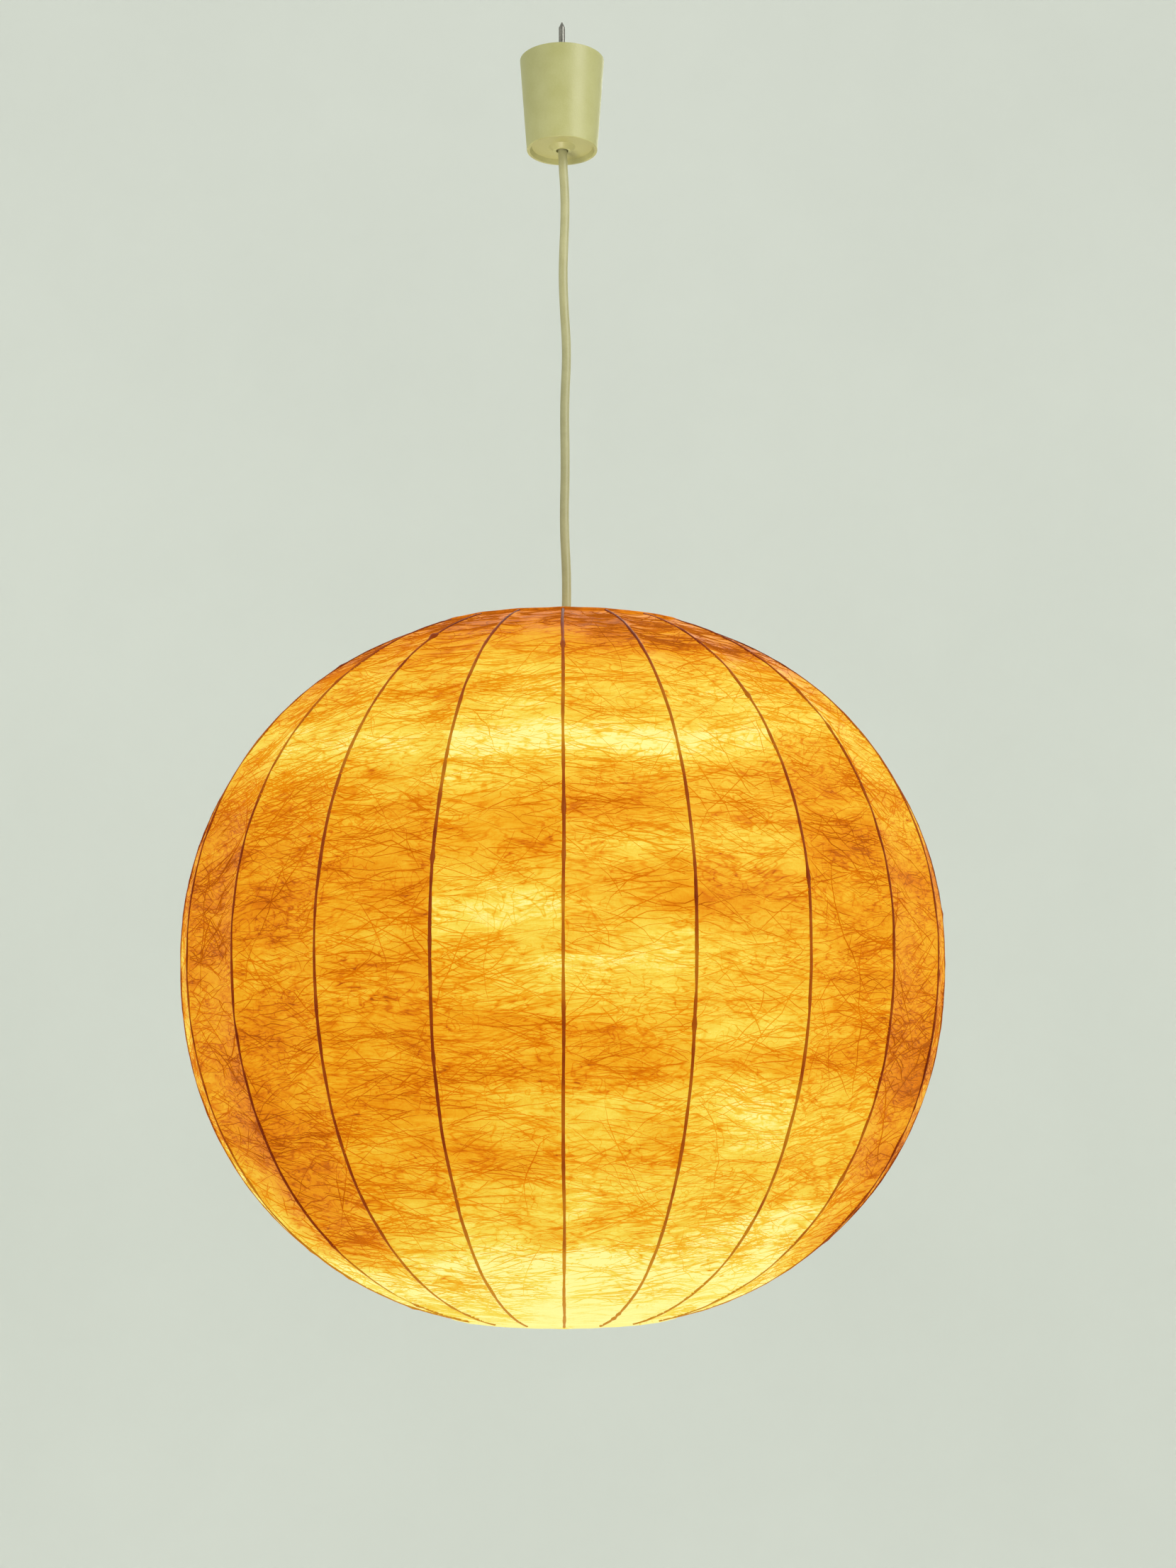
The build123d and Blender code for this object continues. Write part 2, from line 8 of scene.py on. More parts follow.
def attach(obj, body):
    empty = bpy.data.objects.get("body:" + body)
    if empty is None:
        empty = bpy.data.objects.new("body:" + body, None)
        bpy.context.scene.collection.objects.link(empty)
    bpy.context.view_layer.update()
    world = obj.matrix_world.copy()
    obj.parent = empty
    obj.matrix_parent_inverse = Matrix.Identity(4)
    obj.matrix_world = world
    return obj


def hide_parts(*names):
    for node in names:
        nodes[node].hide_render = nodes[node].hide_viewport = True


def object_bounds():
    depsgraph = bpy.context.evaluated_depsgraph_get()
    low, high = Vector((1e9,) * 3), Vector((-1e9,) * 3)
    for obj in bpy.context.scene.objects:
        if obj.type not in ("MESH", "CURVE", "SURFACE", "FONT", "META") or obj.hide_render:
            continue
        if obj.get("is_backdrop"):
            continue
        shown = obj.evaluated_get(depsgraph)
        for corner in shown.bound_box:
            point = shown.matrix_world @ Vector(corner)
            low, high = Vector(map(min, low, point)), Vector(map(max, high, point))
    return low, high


# Looks of the globe pendant lamp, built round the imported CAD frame. Metres, +Z up, first rib
# towards -Y, and the origin on the ceiling.

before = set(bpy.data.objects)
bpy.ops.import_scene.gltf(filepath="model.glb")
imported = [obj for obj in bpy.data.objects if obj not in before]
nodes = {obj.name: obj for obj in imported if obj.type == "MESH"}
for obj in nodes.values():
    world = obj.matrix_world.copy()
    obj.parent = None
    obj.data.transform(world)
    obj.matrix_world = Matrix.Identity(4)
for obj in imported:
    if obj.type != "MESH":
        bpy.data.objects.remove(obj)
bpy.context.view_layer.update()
scene = bpy.context.scene
scene.view_settings.view_transform = "Standard"

SHADE_RADIUS = 0.260
EQUATOR = -0.650
RISE, FALL = 0.236, 0.251
POWER_UP, POWER_DOWN = 2.07, 2.19
TOP_MOUTH, BOTTOM_MOUTH = 0.095, 0.0785
RIB_COUNT = 21
SKIN_WALL = 0.0008
FRONT = -math.pi / 2
HALF_GORE = math.pi / RIB_COUNT
GLOW_PERIOD = math.radians(120)

# ---- Camera ----
SENSOR_WIDTH = 36
FOCAL_PX = 3017.0
IMAGE_LONG_SIDE = 2212
CAMERA_DISTANCE = 5.678 * SHADE_RADIUS
CAMERA_DROP = 0.269 * SHADE_RADIUS
PITCH, YAW, ROLL = 7.21, 0.67, -0.18  # degrees
pitch, yaw, roll = (math.radians(angle) for angle in (PITCH, YAW, ROLL))
forward = Vector(
    (math.sin(yaw) * math.cos(pitch), math.cos(yaw) * math.cos(pitch), math.sin(pitch))
)
level_right = Vector((math.cos(yaw), -math.sin(yaw), 0))
level_up = level_right.cross(forward)
right = math.cos(roll) * level_right + math.sin(roll) * level_up
up = math.cos(roll) * level_up - math.sin(roll) * level_right
camera_data = bpy.data.cameras.new("camera")
camera_data.sensor_width = SENSOR_WIDTH
camera_data.lens = SENSOR_WIDTH * FOCAL_PX / IMAGE_LONG_SIDE
camera = bpy.data.objects.new("camera", camera_data)
scene.collection.objects.link(camera)
turn = Matrix((right, up, -forward)).transposed().to_4x4()
place = Matrix.Translation((0, -CAMERA_DISTANCE, EQUATOR - CAMERA_DROP))
camera.matrix_world = place @ turn
scene.camera = camera

# ---- Cord ----
CORD_DIAMETER = 0.0065
CORD_SIDES = 20
CORD_ROUTE = [
    (0, 0, -0.045),
    (0, 0, -0.075),
    (0.0026, 0, -0.112),
    (0.0004, 0, -0.158),
    (0.0010, 0, -0.186),
    (0.0034, 0, -0.223),
    (0.0012, 0, -0.262),
    (0.0020, 0, -0.308),
    (0.0008, 0, -0.348),
    (0.0030, 0, -0.388),
    (0.0018, 0, -0.432),
    (0.0010, 0, -0.480),
    (0, 0, -0.520),
    (0, 0, -0.546),
]
cord_curve = bpy.data.curves.new("cord_route", "CURVE")
cord_curve.dimensions = "3D"
cord_curve.resolution_u = 8
cord_line = cord_curve.splines.new("NURBS")
cord_line.points.add(len(CORD_ROUTE) - 1)
for point, spot in zip(cord_line.points, CORD_ROUTE):
    point.co = (*spot, 1)
cord_line.order_u = 3
cord_line.use_endpoint_u = True


def curve_points(curve):
    """Points along a curve that has no bevel."""
    holder = bpy.data.objects.new("route", curve)
    scene.collection.objects.link(holder)
    bpy.context.view_layer.update()
    mesh = bpy.data.meshes.new_from_object(holder)
    points = [tuple(v.co) for v in mesh.vertices]
    bpy.data.objects.remove(holder)
    return points


cord_points = curve_points(cord_curve)


def link_mesh(name, vertices, faces, material, levels=None, smooth=True):
    """Makes a mesh piece, with the glow stored on its points if levels are given."""
    mesh = bpy.data.meshes.new(name)
    mesh.from_pydata([tuple(v) for v in vertices], [], [tuple(f) for f in faces])
    mesh.update()
    if levels is not None:
        field = mesh.attributes.new("glow", "FLOAT", "POINT")
        field.data.foreach_set("value", np.asarray(levels, np.float32))
    if smooth:
        mesh.polygons.foreach_set("use_smooth", [True] * len(mesh.polygons))
    if material is not None:
        mesh.materials.append(material)
    piece = bpy.data.objects.new(name, mesh)
    scene.collection.objects.link(piece)
    return piece


def tubes(paths, normals, radii, sides):
    """Closed tubes along paths (tube, point, xyz), as one list of points and faces."""
    count, length = paths.shape[:2]
    tangent = np.gradient(paths, axis=1)
    tangent /= np.linalg.norm(tangent, axis=2, keepdims=True)
    side = np.cross(tangent, normals)
    side /= np.linalg.norm(side, axis=2, keepdims=True)
    over = np.cross(side, tangent)
    turns = np.arange(sides) * 2 * math.pi / sides + math.pi / 2
    spread = (
        np.cos(turns)[:, None] * side[:, :, None] + np.sin(turns)[:, None] * over[:, :, None]
    )
    points = (paths[:, :, None] + radii[:, :, None, None] * spread).reshape(-1, 3)
    index = np.arange(count * length * sides).reshape(count, length, sides)
    beside = np.roll(index, -1, axis=2)
    quads = np.stack([index[:, :-1], index[:, 1:], beside[:, 1:], beside[:, :-1]], axis=-1)
    faces = [tuple(q) for q in quads.reshape(-1, 4)]
    for tube in range(count):
        faces.append(tuple(index[tube, 0]))
        faces.append(tuple(index[tube, -1][::-1]))
    return points, faces


cord_path = np.array(cord_points)[None]
cord_radii = np.full(cord_path.shape[:2], CORD_DIAMETER / 2)
cord_sideways = np.broadcast_to(np.array([0.0, 1.0, 0.0]), cord_path.shape)
cord_mesh, cord_faces = tubes(cord_path, cord_sideways, cord_radii, CORD_SIDES)
cord = link_mesh("pendant_cord", cord_mesh, cord_faces, None)
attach(cord, "drop")
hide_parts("cord")


# ---- Node helpers ----


class Tree:
    """A material whose nodes are added one call at a time."""

    def __init__(self, name):
        self.material = bpy.data.materials.new(name)
        self.material.use_nodes = True
        self.nodes = self.material.node_tree.nodes
        self.links = self.material.node_tree.links
        self.nodes.clear()

    def add(self, kind, inputs=(), **settings):
        node = self.nodes.new("ShaderNode" + kind)
        for name, value in settings.items():
            setattr(node, name, value)
        for name, value in dict(inputs).items():
            socket = node.inputs[name]
            if isinstance(value, bpy.types.NodeSocket):
                self.links.new(value, socket)
            else:
                socket.default_value = value
        return node

    def math(self, operation, first, second=0.0, clamp=False):
        pair = {0: first, 1: second}
        return self.add("Math", pair, operation=operation, use_clamp=clamp).outputs[0]

    def remap(self, value, low, high, to_low=0.0, to_high=1.0):
        pairs = {"Value": value, "From Min": low, "From Max": high}
        pairs.update({"To Min": to_low, "To Max": to_high})
        return self.add("MapRange", pairs, interpolation_type="SMOOTHSTEP").outputs[0]

    def place(self):
        return self.add("TexCoord").outputs["Object"]

    def stretch(self, vector, scale, offset=(0, 0, 0)):
        pairs = {"Vector": vector, "Scale": scale, "Location": offset}
        return self.add("Mapping", pairs).outputs[0]

    def noise(self, vector, scale, detail=2.0, rough=0.5):
        pairs = {"Vector": vector, "Scale": scale, "Detail": detail, "Roughness": rough}
        return self.add("TexNoise", pairs)

    def ramp(self, value, stops):
        node = self.add("ValToRGB", {"Fac": value})
        marks = node.color_ramp.elements
        while len(marks) < len(stops):
            marks.new(0.5)
        for mark, (where, colour) in zip(marks, stops):
            mark.position = where
            mark.color = (*colour, 1)
        return node.outputs[0]

    def finish(self, shader):
        self.add("OutputMaterial", {"Surface": shader})
        return self.material


def srgb(red, green, blue):
    """Scene-linear colour of an sRGB colour given as 0 to 255."""
    values = [c / 255 for c in (red, green, blue)]
    return tuple(c / 12.92 if c < 0.04045 else ((c + 0.055) / 1.055) ** 2.4 for c in values)


MATERIAL_IOR = 1.5
BUMP_DISTANCE = 0.001


def solid_material(name, dark, light, rough, grain=400.0, bump=0.05, metallic=0.0, spot=30.0):
    """Moulded, painted or plated surface: two tones mixed by cloudy noise, with a fine grain.

    grain and spot are the noise's cells per metre, fine and coarse.
    """
    tree = Tree(name)
    where = tree.place()
    cloud = tree.noise(where, spot, 4.0, 0.6).outputs["Fac"]
    fine = tree.noise(where, grain, 3.0, 0.6).outputs["Fac"]
    mixed = tree.math("ADD", tree.math("MULTIPLY", cloud, 0.7), tree.math("MULTIPLY", fine, 0.3))
    colour = tree.ramp(mixed, [(0.35, dark), (0.65, light)])
    roughness = tree.remap(cloud, 0.3, 0.7, rough - 0.06, rough + 0.08)
    relief = {"Height": fine, "Strength": bump, "Distance": BUMP_DISTANCE}
    height = tree.add("Bump", relief).outputs[0]
    shader = tree.add(
        "BsdfPrincipled",
        {
            "Base Color": colour,
            "Roughness": roughness,
            "Metallic": metallic,
            "IOR": MATERIAL_IOR,
            "Normal": height,
        },
    )
    return tree.finish(shader.outputs[0])


# ---- The shade's surface ----


def superellipse(half_height, power, mouth, steps=600):
    """Radius and height, from the equator to the mouth, of one half of the meridian."""
    last = math.acos((mouth / SHADE_RADIUS) ** (power / 2))
    turns = np.linspace(0, last, steps)
    radius = SHADE_RADIUS * np.cos(turns) ** (2 / power)
    height = half_height * np.sin(turns) ** (2 / power)
    return radius, height


upper_r, upper_h = superellipse(RISE, POWER_UP, TOP_MOUTH)
lower_r, lower_h = superellipse(FALL, POWER_DOWN, BOTTOM_MOUTH)
line_r = np.concatenate([upper_r[::-1], lower_r[1:]])
line_h = np.concatenate([upper_h[::-1], -lower_h[1:]])
run = np.concatenate([[0], np.cumsum(np.hypot(np.diff(line_r), np.diff(line_h)))])
LINE_LENGTH = float(run[-1])
slope_r = np.gradient(line_r, run)
slope_h = np.gradient(line_h, run)


def lattice_noise(points, seed):
    """Smooth noise from 0 to 1 at points whose cells are 1 across."""
    table = np.random.RandomState(seed).rand(4096)
    base = np.floor(points).astype(np.int64)
    part = points - base
    part = part * part * (3 - 2 * part)
    total = np.zeros(len(points))
    for corner in range(8):
        step = np.array([corner & 1, corner >> 1 & 1, corner >> 2 & 1])
        cell = base + step
        key = (cell[:, 0] * 73856093) ^ (cell[:, 1] * 19349663) ^ (cell[:, 2] * 83492791)
        weight = np.prod(np.where(step, part, 1 - part), axis=1)
        total += weight * table[key % 4096]
    return total


GORE_SAG = 0.0022  # how far a gore's middle is drawn in, at the equator


def surface(azimuth, along, lift=0.0):
    """Points of the skin's outer face, raised by lift.

    They are given by azimuth and by arc length down the meridian from the top mouth.
    """
    azimuth = np.asarray(azimuth, float)
    radius = np.interp(along, run, line_r)
    height = np.interp(along, run, line_h)
    normal_r = -np.interp(along, run, slope_h)
    normal_h = np.interp(along, run, slope_r)
    local = np.mod(azimuth - FRONT, 2 * HALF_GORE) - HALF_GORE
    share = local / HALF_GORE
    flat = math.cos(HALF_GORE) / np.cos(local)
    inward = GORE_SAG * (1 - share**2) * radius / SHADE_RADIUS - lift
    across = radius * flat - inward * normal_r
    up_down = height - inward * normal_h
    return np.stack(
        [across * np.cos(azimuth), across * np.sin(azimuth), EQUATOR + up_down], axis=-1
    )


# Brightness of the lit skin against height over the equator: painted light of the bulb through the
# skin, with a painted shadow of the lampholder on the top cap.
GLOW_BY_HEIGHT = [
    (-0.250, 1.24),
    (-0.225, 1.14),
    (-0.205, 0.98),
    (-0.185, 0.76),
    (-0.160, 0.63),
    (-0.130, 0.56),
    (-0.090, 0.57),
    (-0.045, 0.57),
    (-0.015, 0.60),
    (0.005, 0.58),
    (0.035, 0.50),
    (0.060, 0.51),
    (0.090, 0.61),
    (0.122, 0.75),
    (0.145, 0.71),
    (0.165, 0.60),
    (0.185, 0.42),
    (0.200, 0.28),
    (0.236, 0.17),
]
# Painted bright and dim patches of the bulb's light in the skin: azimuth from the middle of a third,
# height, spreads and gain.
GLOW_PATCHES = [
    (-56, -0.070, 17, 0.080, -0.37),
    (-56, -0.145, 14, 0.030, -0.18),
    (-28, -0.110, 10, 0.060, -0.04),
    (-46, -0.185, 15, 0.034, -0.32),
    (-50, 0.035, 16, 0.040, -0.17),
    (-22, 0.040, 8, 0.040, -0.12),
    (-5, -0.046, 9, 0.010, -0.10),
    (4, -0.010, 15, 0.024, 0.20),
    (-10, 0.012, 7, 0.016, 0.26),
    (24, 0.012, 10, 0.018, -0.17),
    (17, -0.125, 13, 0.050, 0.20),
    (-9, -0.130, 8, 0.050, -0.08),
    (12, -0.185, 12, 0.030, 0.14),
    (46, -0.150, 24, 0.055, 0.20),
    (46, -0.055, 18, 0.020, 0.13),
    (-10, 0.115, 16, 0.034, 0.15),
    (12, 0.105, 12, 0.024, 0.14),
    (40, 0.080, 16, 0.045, -0.12),
    (10, 0.052, 8, 0.012, 0.16),
    (-8, 0.052, 6, 0.014, -0.15),
    (28, 0.052, 9, 0.016, 0.12),
]
rng = np.random.RandomState(12)
# Painted shade: each flat gore is a little brighter or darker in the glow.
gore_shading = rng.uniform(-0.05, 0.05, RIB_COUNT)
GORE_STEP = 0.55  # share of the change round the globe that happens at the ribs
GLOW_LIFT = 0.10  # makes up for what the threads keep back
BAND_SHARE = 0.22


def fibre_bands(azimuth, height):
    """Density of the sprayed threads, 0 to 1, in long flat clouds."""
    ring = np.stack([np.cos(azimuth), np.sin(azimuth)], axis=-1) * SHADE_RADIUS
    spots = np.column_stack([ring * 11, height * 52 + 40])
    fine = np.column_stack([ring * 26, height * 120 + 90])
    cloud = 0.65 * lattice_noise(spots, 5) + 0.35 * lattice_noise(fine, 6)
    return np.clip((cloud - 0.36) / 0.34, 0, 1)


def glow(azimuth, height):
    """Brightness of the lit skin, 0 to 1: painted light that stands in for the bulb shining through
    the skin.
    """
    azimuth = np.asarray(azimuth, float)
    gore = np.floor(np.mod(azimuth - FRONT, 2 * math.pi) / (2 * HALF_GORE) + 1e-6).astype(int)
    gore = np.mod(gore, RIB_COUNT)
    middle_of_gore = FRONT + (2 * gore + 1) * HALF_GORE
    off_middle = np.mod(azimuth - middle_of_gore + math.pi, 2 * math.pi) - math.pi
    stepped = middle_of_gore + (1 - GORE_STEP) * off_middle
    heights = [row[0] for row in GLOW_BY_HEIGHT]
    levels = [row[1] for row in GLOW_BY_HEIGHT]
    level = np.interp(height, heights, levels)
    third = np.mod(stepped - FRONT + GLOW_PERIOD / 2, GLOW_PERIOD) - GLOW_PERIOD / 2
    degrees = np.degrees(third)
    for middle, middle_height, spread, tall, gain in GLOW_PATCHES:
        off = np.abs(degrees - middle)
        off = np.minimum(off, np.degrees(GLOW_PERIOD) - off)
        distance = (off / spread) ** 2 + ((height - middle_height) / tall) ** 2
        level = level + gain * np.exp(-distance)
    level = level + gore_shading[gore] + GLOW_LIFT
    return level - BAND_SHARE * (fibre_bands(azimuth, height) - 0.4)


# The skin's colour against its brightness.
LIT_SKIN = [
    (0.00, srgb(164, 74, 0)),
    (0.12, srgb(196, 96, 0)),
    (0.25, srgb(219, 118, 0)),
    (0.40, srgb(233, 145, 8)),
    (0.55, srgb(240, 172, 30)),
    (0.70, srgb(244, 200, 58)),
    (0.85, srgb(248, 225, 88)),
    (1.00, srgb(254, 251, 154)),
]
# Thread layers: noise cells per metre along and up, waviness, line width, weight and offset.
THREAD_LAYERS = [
    (24, 120, 0.050, 0.050, 0.14, 1.7),
    (40, 230, 0.050, 0.045, 0.24, 5.1),
    (52, 300, 0.040, 0.050, 0.22, 9.4),
    (110, 110, 0.050, 0.026, 0.20, 13.9),
    (70, 400, 0.030, 0.060, 0.14, 21.3),
]


# Noise cells per metre, or along X, Y and Z, and how strongly each cloud changes the level.
THREAD_BEND = 13.0
THREAD_PATCH = (30, 30, 60)
MOTTLE_CELLS = (60, 60, 190)
MOTTLE_SHARE = 0.34
SPECK_CELLS = 900.0
SPECK_SHARE = 0.16
THREAD_RELIEF = 0.0006  # depth of the bump, in metres


def skin_material(name, threads, lower):
    """Lit resin skin. Its light is painted as emission from the stored glow, less what the threads
    keep back.
    """
    tree = Tree(name)
    where = tree.place()
    stored = tree.add("Attribute", attribute_name="glow").outputs["Fac"]
    level = tree.math("SUBTRACT", stored, lower)
    web = None
    if threads:
        for wide, tall, wave, width, weight, offset in THREAD_LAYERS:
            shift = (offset, offset * 1.3, offset * 0.7)
            moving = tree.stretch(where, (1, 1, 1), shift)
            bend = tree.noise(moving, THREAD_BEND, 1.0).outputs["Color"]
            centred = tree.add("VectorMath", {0: bend, 1: (0.5, 0.5, 0.5)}, operation="SUBTRACT")
            scaled = tree.add(
                "VectorMath", {0: centred.outputs[0], 1: (wave, wave, wave)}, operation="MULTIPLY"
            )
            moved = tree.add("VectorMath", {0: where, 1: scaled.outputs[0]}, operation="ADD")
            drawn = tree.stretch(moved.outputs[0], (wide, wide, tall), shift)
            waves = tree.noise(drawn, 1.0, 1.0).outputs["Fac"]
            ridge = tree.math("ABSOLUTE", tree.math("SUBTRACT", waves, 0.5))
            line = tree.remap(ridge, 0.0, width, 1.0, 0.0)
            patch = tree.noise(tree.stretch(where, THREAD_PATCH, shift), 1.0, 1.0).outputs["Fac"]
            kept = tree.math("MULTIPLY", line, tree.remap(patch, 0.36, 0.60))
            part = tree.math("MULTIPLY", kept, weight)
            web = part if web is None else tree.math("ADD", web, part)
    mottle = tree.noise(tree.stretch(where, MOTTLE_CELLS), 1.0, 3.0, 0.6).outputs["Fac"]
    speck = tree.noise(where, SPECK_CELLS, 2.0).outputs["Fac"]
    for cloud, share in ((mottle, MOTTLE_SHARE), (speck, SPECK_SHARE)):
        centred = tree.math("SUBTRACT", cloud, 0.5)
        level = tree.math("ADD", level, tree.math("MULTIPLY", centred, share))
    if web is not None:
        level = tree.math("SUBTRACT", level, web)
    colour = tree.ramp(level, LIT_SKIN)
    relief = web if web is not None else speck
    bump = tree.add("Bump", {"Height": relief, "Strength": 0.5, "Distance": THREAD_RELIEF}).outputs[0]
    base = tree.ramp(mottle, [(0.3, (0.070, 0.026, 0.001)), (0.7, (0.098, 0.042, 0.003))])
    shader = tree.add(
        "BsdfPrincipled",
        {
            "Base Color": base,
            "Roughness": 0.55,
            "Specular IOR Level": 0.06,
            "Emission Color": colour,
            "Emission Strength": 0.95,
            "Normal": bump,
        },
    )
    return tree.finish(shader.outputs[0])


GORE_COLUMNS = 10
SKIN_ROWS = 200
columns = RIB_COUNT * GORE_COLUMNS
share_of_gore = 0.5 - 0.5 * np.cos(np.arange(GORE_COLUMNS) * math.pi / GORE_COLUMNS)
azimuths = FRONT + 2 * HALF_GORE * (np.arange(RIB_COUNT)[:, None] + share_of_gore).ravel()
alongs = np.linspace(0, LINE_LENGTH, SKIN_ROWS)
grid_azimuth, grid_along = np.meshgrid(azimuths, alongs)
flat_azimuth, flat_along = grid_azimuth.ravel(), grid_along.ravel()
WRINKLE_DEPTH = 0.0009
wrinkle_spots = np.column_stack(
    [np.cos(flat_azimuth) * 14, np.sin(flat_azimuth) * 14, flat_along * 70]
)
wrinkle = (lattice_noise(wrinkle_spots, 9) - 0.5) * WRINKLE_DEPTH
outer = surface(flat_azimuth, flat_along, wrinkle)
inner = surface(flat_azimuth, flat_along, wrinkle - SKIN_WALL)
ring_index = np.arange(SKIN_ROWS * columns).reshape(SKIN_ROWS, columns)
next_index = np.roll(ring_index, -1, axis=1)
outer_faces = np.stack(
    [ring_index[:-1], ring_index[1:], next_index[1:], next_index[:-1]], axis=-1
).reshape(-1, 4)
count = len(outer)
inner_faces = outer_faces[:, ::-1] + count
lips = []
for row, flip in ((0, False), (SKIN_ROWS - 1, True)):
    here, ahead = ring_index[row], next_index[row]
    lip = np.stack([here, ahead, ahead + count, here + count], axis=-1)
    lips.append(lip[:, ::-1] if flip else lip)
skin_levels = glow(flat_azimuth, np.interp(flat_along, run, line_h))
skin = link_mesh(
    "fibre_skin",
    np.concatenate([outer, inner]),
    np.concatenate([outer_faces, inner_faces, *lips]),
    skin_material("lit_skin", True, 0.0),
    np.concatenate([skin_levels, skin_levels]),
)
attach(skin, "lamp")
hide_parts("cocoon_skin")


THREADS_PER_SET = 2700
THREAD_POINTS = 9
TRIES_PER_THREAD = 4
STEEP_SHARE = 0.13
THREAD_LENGTH = (0.012, 0.140)
THREAD_HALF_WIDTH = (0.00020, 0.00046)
THREAD_LIFT = 0.00012
THREAD_SIDES = 3
NORMAL_REACH = 0.002
THREAD_EDGE = 0.002  # threads stay this far from the mouths


def strand_set(seed, count, points=THREAD_POINTS):
    """Random threads on the skin: azimuths, arc lengths and half widths, each (thread, point)."""
    draw = np.random.RandomState(seed)
    tries = count * TRIES_PER_THREAD
    start = draw.uniform(0, 2 * math.pi, tries)
    along = LINE_LENGTH * draw.uniform(0.02, 0.98, tries)
    radius = np.interp(along, run, line_r)
    height = np.interp(along, run, line_h)
    chance = (0.25 + 0.75 * fibre_bands(start, height)) * radius / SHADE_RADIUS
    kept = np.flatnonzero(draw.uniform(0, 1, tries) < chance)[:count]
    start, along = start[kept], along[kept]
    total = len(kept)
    steep = draw.uniform(0, 1, total) < STEEP_SHARE
    heading = np.where(steep, draw.normal(0, 0.9, total), draw.normal(0, 0.24, total))
    bend = draw.normal(0, 0.55, total)
    waver = draw.normal(0, 0.15, (total, points))
    length = np.clip(draw.gamma(2.4, 0.022, total), *THREAD_LENGTH)
    step = (length / (points - 1))[:, None]
    progress = np.linspace(-0.5, 0.5, points)[None, :]
    angle = heading[:, None] + bend[:, None] * progress + waver
    up_run = np.cumsum(np.sin(angle) * step, axis=1)
    along_line = np.clip(along[:, None] + up_run, THREAD_EDGE, LINE_LENGTH - THREAD_EDGE)
    local_radius = np.interp(along_line, run, line_r)
    azimuth = start[:, None] + np.cumsum(np.cos(angle) * step / local_radius, axis=1)
    taper = np.sin(math.pi * np.linspace(0.08, 0.92, points)) ** 0.5
    half_width = draw.uniform(*THREAD_HALF_WIDTH, total)[:, None] * taper[None, :]
    return azimuth, along_line, half_width


HEM_BULGE = 0.0011
HEM_RIPPLE = 0.0008
HEM_DULLER = 0.10
HEM_STEPS_PER_GORE = 12
HEM_ARC_POINTS = 9


def hem(name, ring, mouth_along, bulge):
    """Rolled edge where the skin turns in round an end hoop: a tapered lip, slightly wrinkled."""
    corners = np.array([ring.matrix_world @ Vector(corner) for corner in ring.bound_box])
    wire = (corners[:, 2].max() - corners[:, 2].min()) / 2
    hoop = np.array([corners[:, 0].max() - wire, corners[:, 2].mean()])
    edge_r = np.interp(mouth_along, run, line_r)
    edge = np.array([edge_r, EQUATOR + np.interp(mouth_along, run, line_h)])
    away = (edge - hoop) / np.linalg.norm(edge - hoop)
    across = np.array([-away[1], away[0]])
    section = []
    for centre, radius, first in ((edge, bulge, -0.5), (hoop, wire + bulge / 2, 0.5)):
        for turn in (first + np.linspace(0, 1, HEM_ARC_POINTS)) * math.pi:
            section.append(centre + radius * (math.cos(turn) * away + math.sin(turn) * across))
    section = np.array(section)
    steps = RIB_COUNT * HEM_STEPS_PER_GORE
    around = FRONT + np.arange(steps) * 2 * math.pi / steps
    local = np.mod(around - FRONT, 2 * HALF_GORE) - HALF_GORE
    flat = 1 - 0.5 * (1 - math.cos(HALF_GORE) / np.cos(local))
    ripples = np.column_stack([np.cos(around) * 9, np.sin(around) * 9, np.full(steps, hoop[0] * 90)])
    wobble = (lattice_noise(ripples, 31) - 0.5) * HEM_RIPPLE
    radius = section[None, :, 0] * flat[:, None] + wobble[:, None]
    heights = np.broadcast_to(section[None, :, 1], radius.shape) + wobble[:, None] / 2
    points = np.stack(
        [radius * np.cos(around)[:, None], radius * np.sin(around)[:, None], heights], axis=-1
    ).reshape(-1, 3)
    size = len(section)
    index = np.arange(steps * size).reshape(steps, size)
    ahead = np.roll(index, -1, axis=0)
    quads = np.stack(
        [index, ahead, np.roll(ahead, -1, axis=1), np.roll(index, -1, axis=1)], axis=-1
    ).reshape(-1, 4)
    # The hem carries the skin's painted glow, set lower by HEM_DULLER.
    levels = glow(np.repeat(around, size), points[:, 2] - EQUATOR) - HEM_DULLER
    piece = link_mesh(name, points, quads, skin.data.materials[0], levels)
    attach(piece, "lamp")


hem("skin_hem_top", nodes["top_ring"], 0.0, HEM_BULGE)
hem("skin_hem_bottom", nodes["bottom_ring"], LINE_LENGTH, HEM_BULGE)
# The threads carry the skin's painted glow, set 0.36 lower.
thread_material = skin_material("lit_thread", False, 0.36)
for letter, seed in (("a", 21), ("b", 22), ("c", 23)):
    azimuth, along, half_width = strand_set(seed, THREADS_PER_SET)
    centre = surface(azimuth, along, THREAD_LIFT)
    normals = surface(azimuth, along, NORMAL_REACH) - centre
    points, faces = tubes(centre, normals, half_width, THREAD_SIDES)
    levels = np.repeat(glow(azimuth.ravel(), np.interp(along.ravel(), run, line_h)), THREAD_SIDES)
    name = "fibre_threads_" + letter
    threads = link_mesh(name, points, faces, thread_material, levels, False)
    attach(threads, "lamp")

# ---- Ribs: wires caught in the skin ----
RIB_POINTS = 130
RIB_SIDES = 8
RIB_RADIUS = 0.00112
RIB_DEPTH = 0.00045
RIB_NORMAL_REACH = 0.003
BEADS_PER_RIB = 3
BEAD_SWELL = 1.45
RIB_WANDER = ((2, 0.00030), (5, 0.00020), (11, 0.00010))  # waves down the rib, reach
